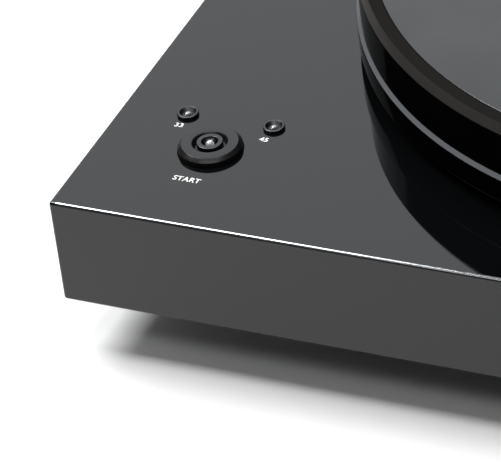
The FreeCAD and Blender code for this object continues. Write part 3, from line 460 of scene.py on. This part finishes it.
def buildTurningTree():
    # sweeps an outline round a circle, cuts ribs round a band, and finishes a ring differently
    tree = bpy.data.node_groups.new("turningTree", "GeometryNodeTree")
    tree.is_modifier = True
    given, made = addSockets(tree, [
        ("Lathe radius", "Float", 1.0), ("Steps", "Int", 128), ("Crease angle", "Float", 0.45),
        ("Ribs", "Int", 0), ("Rib depth", "Float", 0.0), ("Rib low", "Float", 0.0), ("Rib high", "Float", 0.0),
        ("Ring inner", "Float", 0.0), ("Ring outer", "Float", 0.0), ("Ring height", "Float", 0.0),
        ("Finish", "Material", None), ("Ring finish", "Material", None)])
    nodes, links = tree.nodes, tree.links
    toCurve = nodes.new("GeometryNodeMeshToCurve")
    rail = nodes.new("GeometryNodeCurvePrimitiveCircle")
    sweep = nodes.new("GeometryNodeCurveToMesh")
    weld = nodes.new("GeometryNodeMergeByDistance")
    weld.inputs["Distance"].default_value = 0.0000004
    links.new(given["Start"], toCurve.inputs["Mesh"])
    links.new(given["Lathe radius"], rail.inputs["Radius"])
    links.new(given["Steps"], rail.inputs["Resolution"])
    links.new(rail.outputs["Curve"], sweep.inputs["Curve"])
    links.new(toCurve.outputs["Curve"], sweep.inputs["Profile Curve"])
    links.new(sweep.outputs["Mesh"], weld.inputs["Geometry"])

    split = nodes.new("ShaderNodeSeparateXYZ")
    links.new(nodes.new("GeometryNodeInputPosition").outputs["Position"], split.inputs["Vector"])
    x, y, z = split.outputs
    radius = mathNode(tree, "SQRT", mathNode(tree, "ADD", mathNode(tree, "MULTIPLY", x, x),
                                             mathNode(tree, "MULTIPLY", y, y)))
    angle = mathNode(tree, "ARCTAN2", y, x)
    wave = mathNode(tree, "COSINE", mathNode(tree, "MULTIPLY", angle, given["Ribs"]))
    dip = mathNode(tree, "MULTIPLY", mathNode(tree, "MULTIPLY_ADD", wave, 0.5, -0.5), given["Rib depth"])
    inward = nodes.new("ShaderNodeVectorMath")
    inward.operation = "SCALE"
    outwards = nodes.new("ShaderNodeCombineXYZ")
    links.new(mathNode(tree, "DIVIDE", x, radius), outwards.inputs["X"])
    links.new(mathNode(tree, "DIVIDE", y, radius), outwards.inputs["Y"])
    links.new(outwards.outputs["Vector"], inward.inputs[0])
    links.new(dip, inward.inputs["Scale"])
    onBand = mathNode(tree, "MULTIPLY", mathNode(tree, "GREATER_THAN", z, given["Rib low"]),
                      mathNode(tree, "LESS_THAN", z, given["Rib high"]))
    ribbed = nodes.new("GeometryNodeSetPosition")
    links.new(weld.outputs["Geometry"], ribbed.inputs["Geometry"])
    links.new(onBand, ribbed.inputs["Selection"])
    links.new(inward.outputs["Vector"], ribbed.inputs["Offset"])

    smooth = nodes.new("GeometryNodeSetShadeSmooth")
    creased = nodes.new("GeometryNodeSetShadeSmooth")
    creased.domain = "EDGE"
    creased.inputs["Shade Smooth"].default_value = False
    links.new(ribbed.outputs["Geometry"], smooth.inputs["Geometry"])
    links.new(smooth.outputs["Geometry"], creased.inputs["Geometry"])
    bend = nodes.new("GeometryNodeInputMeshEdgeAngle").outputs["Unsigned Angle"]
    links.new(mathNode(tree, "GREATER_THAN", bend, given["Crease angle"]), creased.inputs["Selection"])

    realised = nodes.new("GeometryNodeRealizeInstances")
    wholeFinish = nodes.new("GeometryNodeSetMaterial")
    ringFinish = nodes.new("GeometryNodeSetMaterial")
    onRing = mathNode(tree, "MULTIPLY", mathNode(tree, "MULTIPLY",
                                                 mathNode(tree, "GREATER_THAN", radius, given["Ring inner"]),
                                                 mathNode(tree, "LESS_THAN", radius, given["Ring outer"])),
                      mathNode(tree, "GREATER_THAN", z, given["Ring height"]))
    links.new(creased.outputs["Geometry"], realised.inputs["Geometry"])
    links.new(realised.outputs["Geometry"], wholeFinish.inputs["Geometry"])
    links.new(given["Finish"], wholeFinish.inputs["Material"])
    links.new(wholeFinish.outputs["Geometry"], ringFinish.inputs["Geometry"])
    links.new(onRing, ringFinish.inputs["Selection"])
    links.new(given["Ring finish"], ringFinish.inputs["Material"])
    links.new(ringFinish.outputs["Geometry"], made)
    return tree


def buildMarksTree():
    # scale marks round a circle, every so many of them longer
    tree = bpy.data.node_groups.new("dialMarksTree", "GeometryNodeTree")
    tree.is_modifier = True
    given, made = addSockets(tree, [
        ("Marks", "Int", 20), ("Sweep", "Float", math.tau), ("Radius", "Float", 0.01),
        ("Mark length", "Float", 0.001), ("Mark width", "Float", 0.0002), ("Mark height", "Float", 0.00005),
        ("Long every", "Int", 5),
        ("Upright", "Float", 0.0), ("Finish", "Material", None)])
    nodes, links = tree.nodes, tree.links
    index = nodes.new("GeometryNodeInputIndex").outputs["Index"]
    turn = mathNode(tree, "MULTIPLY", mathNode(tree, "DIVIDE", index, given["Marks"]), given["Sweep"])
    spot = nodes.new("ShaderNodeCombineXYZ")
    links.new(mathNode(tree, "MULTIPLY", mathNode(tree, "COSINE", turn), given["Radius"]), spot.inputs["X"])
    links.new(mathNode(tree, "MULTIPLY", mathNode(tree, "SINE", turn), given["Radius"]), spot.inputs["Y"])
    points = nodes.new("GeometryNodePoints")
    links.new(given["Marks"], points.inputs["Count"])
    links.new(spot.outputs["Vector"], points.inputs["Position"])
    bar = nodes.new("GeometryNodeMeshCube")
    size = nodes.new("ShaderNodeCombineXYZ")
    links.new(given["Mark length"], size.inputs["X"])
    links.new(given["Mark width"], size.inputs["Y"])
    links.new(given["Mark height"], size.inputs["Z"])
    links.new(size.outputs["Vector"], bar.inputs["Size"])
    swing = nodes.new("ShaderNodeCombineXYZ")
    links.new(given["Upright"], swing.inputs["Y"])
    links.new(turn, swing.inputs["Z"])
    longMark = mathNode(tree, "COMPARE", mathNode(tree, "FLOORED_MODULO", index, given["Long every"]), 0.0, 0.1)
    stretch = nodes.new("ShaderNodeCombineXYZ")
    links.new(mathNode(tree, "MULTIPLY_ADD", longMark, 0.7, 1.0), stretch.inputs["X"])
    stretch.inputs["Y"].default_value = 1.0
    stretch.inputs["Z"].default_value = 1.0
    scatter = nodes.new("GeometryNodeInstanceOnPoints")
    links.new(points.outputs["Points"], scatter.inputs["Points"])
    links.new(bar.outputs["Mesh"], scatter.inputs["Instance"])
    links.new(swing.outputs["Vector"], scatter.inputs["Rotation"])
    links.new(stretch.outputs["Vector"], scatter.inputs["Scale"])
    realised = nodes.new("GeometryNodeRealizeInstances")
    inked = nodes.new("GeometryNodeSetMaterial")
    links.new(scatter.outputs["Instances"], realised.inputs["Geometry"])
    links.new(realised.outputs["Geometry"], inked.inputs["Geometry"])
    links.new(given["Finish"], inked.inputs["Material"])
    links.new(inked.outputs["Geometry"], made)
    return tree


turningTree = buildTurningTree()
marksTree = buildMarksTree()


def grow(name, startMesh, tree, settings, place=Matrix.Identity(4)):
    # runs a tree on a start mesh and keeps the result as a plain mesh with its place in it
    sprout = bpy.data.objects.new(name + "Start", startMesh)
    bpy.context.scene.collection.objects.link(sprout)
    modifier = sprout.modifiers.new("grow", "NODES")
    modifier.node_group = tree
    for item in tree.interface.items_tree:
        if item.item_type == "SOCKET" and item.in_out == "INPUT" and item.name in settings:
            modifier[item.identifier] = settings[item.name]
    bpy.context.view_layer.update()
    mesh = bpy.data.meshes.new_from_object(sprout.evaluated_get(bpy.context.evaluated_depsgraph_get()))
    sprout.modifiers.remove(modifier)
    bpy.data.objects.remove(sprout)
    mesh.name = name
    mesh.transform(place)
    return addPiece(name, mesh)


def addPiece(name, mesh):
    piece = bpy.data.objects.new(name, mesh)
    bpy.context.scene.collection.objects.link(piece)
    return piece


def rideWith(piece, node, standsFor=True):
    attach(piece, frame["nodes"][node]["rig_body"])
    if standsFor:
        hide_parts(node)
    return piece


def turnPiece(name, corners, middle, finish, steps=128, axis="Z", **extra):
    # middle is the point on the piece's axis that heights are measured from
    outline = roundedOutline(corners)
    latheRadius = 1.0
    mesh = bpy.data.meshes.new(name)
    points = [(p.x * mm - latheRadius, -p.y * mm, 0) for p in outline]
    mesh.from_pydata(points, [(i, (i + 1) % len(points)) for i in range(len(points))], [])
    settings = {"Lathe radius": latheRadius, "Steps": steps, "Finish": finish, "Ring finish": finish, **extra}
    lie = Matrix.Rotation(math.radians(-90), 4, "X") if axis == "Y" else Matrix.Identity(4)
    return grow(name, mesh, turningTree, settings, Matrix.Translation(middle) @ lie)


def onTop(x, y, height=0.0):
    return Vector((x, y, plinthTop + height))


# the polished top edge that catches the light along the front
frontEdge = {"radius": 1.2, "proud": 0.02, "thickness": 0.3, "inset": 2.5, "from": 26, "to": 82, "steps": 12}


def buildFrontEdge():
    e = frontEdge
    left, right = plinthLow.x + e["inset"] * mm, plinthHigh.x - e["inset"] * mm
    middle = Vector((0, plinthLow.y + e["radius"] * mm, plinthTop - e["radius"] * mm))
    section = []
    for radius, order in ((e["radius"] + e["proud"], range(e["steps"] + 1)),
                          (e["radius"] - e["thickness"], range(e["steps"], -1, -1))):
        for k in order:
            turn = math.radians(e["from"] + (e["to"] - e["from"]) * k / e["steps"])
            section.append(middle + Vector((0, -math.cos(turn), math.sin(turn))) * radius * mm)
    count = len(section)
    points = [Vector((x, p.y, p.z)) for x in (left, right) for p in section]
    faces = [[i, count + i, count + (i + 1) % count, (i + 1) % count] for i in range(count)]
    half = e["steps"] + 1
    for start, turned in ((0, 1), (count, -1)):   # end caps, as strips between the outer and the inner arc
        faces += [[start + i, start + i + 1, start + count - 2 - i, start + count - 1 - i][::turned]
                  for i in range(half - 1)]
    mesh = bpy.data.meshes.new("frontEdge")
    mesh.from_pydata(points, [], faces)
    mesh.materials.append(edgePolish)
    strip = bmesh.new()
    strip.from_mesh(mesh)
    bmesh.ops.recalc_face_normals(strip, faces=strip.faces)
    for face in strip.faces:
        face.smooth = True
    for edge in strip.edges:
        edge.smooth = edge.calc_face_angle() < 0.5
    strip.to_mesh(mesh)
    strip.free()
    rideWith(addPiece("frontEdge", mesh), "plinth", False)


buildFrontEdge()
print("front edge polished")

# heights are above the plinth's top, in millimetres
platter = {
    "bore": 4.55, "webUnder": 21.0, "cavityRadius": 136.0,
    "skirtRadius": 151.3, "skirtLow": 4.0, "stepHeight": 13.6,
    "wallRadius": 150.0, "wallTop": 30.7, "rimTop": 34.0, "rimRadius": 148.2,
    "seatRadius": 144.0, "seatHeight": 33.2, "matRadius": 143.8, "matTop": 34.2,
    "steps": 384,
}


def buildPlatter():
    p = platter
    centre = onTop(platterMiddle.x, platterMiddle.y)
    body = turnPiece("turnedPlatter", [
        (p["bore"], p["webUnder"], 0), (p["cavityRadius"] - 3, p["webUnder"], 1.0),
        (p["cavityRadius"], p["webUnder"] - 3, 1.0), (p["cavityRadius"], p["skirtLow"], 0.4),
        (p["skirtRadius"] - 1.4, p["skirtLow"], 0.5), (p["skirtRadius"], p["skirtLow"] + 1.4, 0.8),
        (p["skirtRadius"], p["stepHeight"], 0.3), (p["wallRadius"], p["stepHeight"] + 1.3, 0.3),
        (p["wallRadius"], p["wallTop"], 0.6), (p["rimRadius"], p["rimTop"], 0.5),
        (p["seatRadius"], p["rimTop"], 0.15), (p["seatRadius"], p["seatHeight"], 0),
        (p["bore"], p["seatHeight"], 0),
    ], centre, finishes["platter_gloss"], p["steps"], **{
        "Ring finish": rimFinish, "Ring inner": p["seatRadius"] * mm - 0.0001,
        "Ring outer": p["rimRadius"] * mm, "Ring height": p["rimTop"] * mm - 0.0001})
    rideWith(body, "platter")
    mat = turnPiece("platterMat", [
        (p["bore"] + 0.15, p["seatHeight"], 0), (p["matRadius"], p["seatHeight"], 0),
        (p["matRadius"], p["matTop"], 0.25), (p["bore"] + 0.15, p["matTop"], 0.1),
    ], centre, finishes["mat_black"], p["steps"])
    rideWith(mat, "record_mat")


buildPlatter()
print("platter turned")

startDisc = {
    "radius": 10.95, "chamferIn": 1.35, "chamferDown": 1.2, "top": 3.05,
    "recessRadius": 5.95, "recessSlope": 0.8, "recessFloor": 1.0,
    "skirtWidth": 2.0, "skirtEnd": -3.6, "webUnder": -1.5, "guideRadius": 5.5, "guideEnd": -12.0,
    "stemRadius": 1.7, "stemEnd": -16.5, "lampHole": 2.0, "lampHoleEnd": -10.0, "steps": 160,
}
lampCollar = {"bore": 1.56, "neckRadius": 1.95, "neckLength": 7.0, "mouthRadius": 1.9, "mouthHeight": 0.15,
              "startRadius": 4.5, "startFoot": 1.0, "startHeight": 2.4, "startLip": 1.6,
              "speedRadius": 3.75, "speedHeight": 1.2, "speedLip": 0.8}
lampLens = {"radius": 1.5, "roundness": 1.35, "length": 4.6, "legRadius": 0.6,
            "startDome": 3.4, "startLegEnd": -4.4, "speedDome": 0.9}


def buildStartDisc():
    s = startDisc
    radius, top, skirt = s["radius"], s["top"], s["radius"] - s["skirtWidth"]
    recess, floor = s["recessRadius"], s["recessFloor"]
    disc = turnPiece("startDisc", [
        (0, s["stemEnd"], 0), (s["stemRadius"], s["stemEnd"], 0.2), (s["stemRadius"], s["guideEnd"], 0),
        (s["guideRadius"], s["guideEnd"], 0), (s["guideRadius"], s["webUnder"], 0), (skirt, s["webUnder"], 0),
        (skirt, s["skirtEnd"], 0.2), (radius, s["skirtEnd"], 0.2), (radius, top - s["chamferDown"], 0.15),
        (radius - s["chamferIn"], top, 0.15), (recess + 0.25, top, 0.06), (recess - 0.1, top - 0.35, 0.1),
        (recess - s["recessSlope"], floor, 0.2), (s["lampHole"], floor, 0),
        (s["lampHole"], s["lampHoleEnd"], 0), (0, s["lampHoleEnd"], 0),
    ], onTop(startMiddle.x, startMiddle.y), finishes["button_black"], s["steps"])
    rideWith(disc, "start_button")


def buildCollar(name, x, y, foot, radius, height, lip):
    c = lampCollar
    neckEnd, mouth = foot - c["neckLength"], foot + c["mouthHeight"]
    return turnPiece(name, [
        (c["bore"], neckEnd, 0), (c["neckRadius"], neckEnd, 0.1), (c["neckRadius"], foot, 0),
        (radius, foot, 0.12), (radius, foot + height, 0.32), (radius - lip, foot + height, 0.2),
        (c["mouthRadius"], mouth, 0.05), (c["bore"], mouth, 0),
    ], onTop(x, y), finishes["black_chrome"], 96)


def buildLampLens(name, x, y, dome, legEnd, finish):
    radius, leg, foot = lampLens["radius"], lampLens["legRadius"], dome - lampLens["length"]
    return turnPiece(name, [
        (0, legEnd, 0), (leg, legEnd, 0), (leg, foot, 0), (radius, foot, 0.1),
        (radius, dome, lampLens["roundness"]), (0, dome, 0)], onTop(x, y), finish, 48)


def joined(name, pieces):
    # several turned pieces kept as one mesh
    gathered = bmesh.new()
    for piece in pieces:
        gathered.from_mesh(piece.data)
    mesh = bpy.data.meshes.new(name)
    gathered.to_mesh(mesh)
    gathered.free()
    for material in pieces[0].data.materials:
        mesh.materials.append(material)
    for piece in pieces:
        bpy.data.objects.remove(piece)
    return addPiece(name, mesh)


def buildLamps():
    c = lampCollar
    collar = buildCollar("startLampCollar", startMiddle.x, startMiddle.y, c["startFoot"], c["startRadius"],
                         c["startHeight"], c["startLip"])
    rideWith(collar, "start_lamp_bezel")
    lens = buildLampLens("startLampLens", startMiddle.x, startMiddle.y, lampLens["startDome"],
                         lampLens["startLegEnd"], finishes["lamp_lens"])
    rideWith(lens, "start_lamp")
    low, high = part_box("lamp_bezels")
    y = (low.y + high.y) / 2
    spots = [low.x + c["speedRadius"] * mm, high.x - c["speedRadius"] * mm]
    collars = [buildCollar("speedCollar", x, y, 0.0, c["speedRadius"], c["speedHeight"], c["speedLip"])
               for x in spots]
    rideWith(joined("speedLampCollars", collars), "lamp_bezels")
    boardTop = (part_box("speed_lamps")[0].z - plinthTop) / mm
    lenses = [buildLampLens("speedLens", x, y, lampLens["speedDome"], boardTop, smokedLens) for x in spots]
    rideWith(joined("speedLampLenses", lenses), "speed_lamps")


buildStartDisc()
buildLamps()
print("start button and lamps turned")

legends = {
    # words: middle from the plinth's front left corner, width, height of the capitals, in millimetres
    "33": ((24.0, 52.6), 2.95, 2.15),
    "45": ((55.4, 52.1), 3.2, 2.2),
    "START": ((39.6, 24.2), 9.8, 2.45),
}
ink = {"slant": 0.0, "boldness": 0.012, "thickness": 0.02}


def printedMesh(name, words, width, height):
    curve = bpy.data.curves.new(name, "FONT")
    curve.body = words
    curve.align_x = "CENTER"
    curve.align_y = "CENTER"
    curve.shear = ink["slant"]
    curve.offset = ink["boldness"]
    curve.resolution_u = 6
    sketch = bpy.data.objects.new(name + "Sketch", curve)
    bpy.context.scene.collection.objects.link(sketch)
    bpy.context.view_layer.update()
    mesh = bpy.data.meshes.new_from_object(sketch.evaluated_get(bpy.context.evaluated_depsgraph_get()))
    bpy.data.objects.remove(sketch)
    xs = [v.co.x for v in mesh.vertices]
    ys = [v.co.y for v in mesh.vertices]
    fit = Matrix.Diagonal((width * mm / (max(xs) - min(xs)), height * mm / (max(ys) - min(ys)), 1, 1))
    mesh.transform(fit @ Matrix.Translation((-(max(xs) + min(xs)) / 2, -(max(ys) + min(ys)) / 2, 0)))
    mesh.materials.clear()
    mesh.materials.append(inkWhite)
    return mesh


def printLegends():
    for words, (middle, width, height) in legends.items():
        name = "legend" + words.capitalize()
        mesh = printedMesh(name, words, width, height)
        mesh.transform(Matrix.Translation((frontLeft.x + middle[0] * mm, frontLeft.y + middle[1] * mm,
                                           plinthTop + ink["thickness"] * mm)))
        rideWith(addPiece(name, mesh), "plinth", False)


printLegends()
print("legends printed")

weight = {"radius": 17.0, "length": 22.0, "bore": 4.05, "ribs": 96, "ribDepth": 0.28, "ribBand": (5.0, 13.5),
          "groove": (15.0, 16.2), "grooveDepth": 0.7, "ring": (2.2, 3.6), "ringDepth": 0.5}
forceDial = {"radius": 14.2, "length": 5.0, "bore": 4.05, "bevelIn": 3.0, "bevelLength": 2.0,
             "marks": 40, "marksAt": 4.1, "markLength": 1.0, "markWidth": 0.22, "markHeight": 0.06,
             "longEvery": 10}


def buildWeight():
    w = weight
    start = Vector((armAxis.x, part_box("counterweight")[0].y, armAxis.z))
    band, groove, ring = w["ribBand"], w["groove"], w["ring"]
    grooveFloor, ringFloor = w["radius"] - w["grooveDepth"], w["radius"] - w["ringDepth"]
    inBand = [(w["radius"], band[1] - k * (band[1] - band[0]) / 8, 0) for k in range(9)]
    corners = [(w["bore"], 0, 0.3), (w["bore"], w["length"], 0.3), (w["radius"], w["length"], 0.9),
               (w["radius"], groove[1], 0.15), (grooveFloor, groove[1], 0.1), (grooveFloor, groove[0], 0.1),
               (w["radius"], groove[0], 0.15), *inBand, (w["radius"], ring[1], 0.1),
               (ringFloor, ring[1] - 0.4, 0.1), (ringFloor, ring[0] + 0.4, 0.1), (w["radius"], ring[0], 0.1),
               (w["radius"], 0, 0.9)]
    piece = turnPiece("ribbedWeight", corners[::-1], start, finishes["arm_black"], w["ribs"] * 5, "Y", **{
        "Ribs": w["ribs"], "Rib depth": w["ribDepth"] * mm, "Rib low": band[0] * mm - 0.00001,
        "Rib high": band[1] * mm + 0.00001})
    rideWith(piece, "counterweight")


def buildForceDial():
    d = forceDial
    start = Vector((armAxis.x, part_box("force_dial")[0].y, armAxis.z))
    radius = d["radius"]
    body = turnPiece("forceDialDrum", [
        (d["bore"], 0, 0.2), (radius - d["bevelIn"], 0, 0.2), (radius, d["bevelLength"], 0.3),
        (radius, d["length"], 0.4), (d["bore"], d["length"], 0.2),
    ][::-1], start, finishes["arm_silver"], 160, "Y")
    rideWith(body, "force_dial")
    lie = Matrix.Rotation(math.radians(-90), 4, "X")
    middle = Matrix.Translation(start + Vector((0, d["marksAt"] * mm, 0))) @ lie
    marks = grow("forceDialMarks", bpy.data.meshes.new("marksStart"), marksTree, {
        "Marks": d["marks"], "Sweep": math.tau, "Radius": radius * mm, "Mark length": d["markLength"] * mm,
        "Mark width": d["markWidth"] * mm, "Mark height": d["markHeight"] * mm, "Long every": d["longEvery"],
        "Upright": math.radians(90), "Finish": finishes["cartridge_plastic"]}, middle)
    rideWith(marks, "force_dial", False)


antiskateScale = {
    "marks": 13, "sweep": 160, "startTurn": 100, "radius": 9.7, "underDial": 0.4, "lift": 0.03,
    "markLength": 1.1, "markWidth": 0.25, "markHeight": 0.04, "longEvery": 4,
}


def buildAntiskateScale():
    a = antiskateScale
    centre = middleOf("antiskate_dial")
    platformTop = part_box("antiskate_dial")[0].z - a["underDial"] * mm
    place = Matrix.Translation((centre.x, centre.y, platformTop + a["lift"] * mm))
    place = place @ Matrix.Rotation(math.radians(a["startTurn"]), 4, "Z")
    marks = grow("antiskateScale", bpy.data.meshes.new("scaleStart"), marksTree, {
        "Marks": a["marks"], "Sweep": math.radians(a["sweep"]), "Radius": a["radius"] * mm,
        "Mark length": a["markLength"] * mm, "Mark width": a["markWidth"] * mm,
        "Mark height": a["markHeight"] * mm, "Long every": a["longEvery"], "Finish": inkWhite}, place)
    rideWith(marks, "arm_platform", False)


buildWeight()
buildForceDial()
buildAntiskateScale()
print("weight and dials made")

# coloured insulators round the sockets on the connection panel
socketRings = {"inner": 1.75, "outer": 3.3, "proud": 0.12, "inset": 5.6}


def buildSocketRings():
    low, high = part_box("rca_sockets")
    r = socketRings
    inset = r["inset"] * mm
    for side, x, finish in (("left", low.x + inset, insulatorWhite), ("right", high.x - inset, insulatorRed)):
        ring = turnPiece(side + "SocketRing", [
            (r["inner"], 0, 0), (r["inner"], r["proud"], 0.05), (r["outer"], r["proud"], 0.05),
            (r["outer"], 0, 0),
        ][::-1], Vector((x, high.y, (low.z + high.z) / 2)), finish, 64, "Y")
        rideWith(ring, "rca_sockets", False)


buildSocketRings()
print("socket rings fitted")

floorSheet = {"halfWidth": 6.0, "corner": 0.4}


def layFloor():
    half, corner = floorSheet["halfWidth"], floorSheet["corner"]
    outline = []
    for k in range(4):
        middle = Matrix.Rotation(k * math.pi / 2, 3, "Z") @ Vector((half - corner, half - corner, 0))
        for step in range(9):
            turn = k * math.pi / 2 + step * math.pi / 16
            outline.append(middle + Vector((math.cos(turn), math.sin(turn), 0)) * corner)
    mesh = bpy.data.meshes.new("paleFloor")
    mesh.from_pydata(outline, [], [list(range(len(outline)))])
    finish = Finish("palePaper").fixed(IOR=1.3)
    paper = studio["floorTone"]
    finish.tone(finish.noise(3), 0.3, 0.7, [c * 0.985 for c in paper], paper)
    finish.roughness(finish.noise(40), 0.85, 0.95)
    finish.bump(finish.noise(500, 2.0), 0.00002)
    mesh.materials.append(finish.material)
    addPiece("paleFloor", mesh)


layFloor()
print("floor laid")
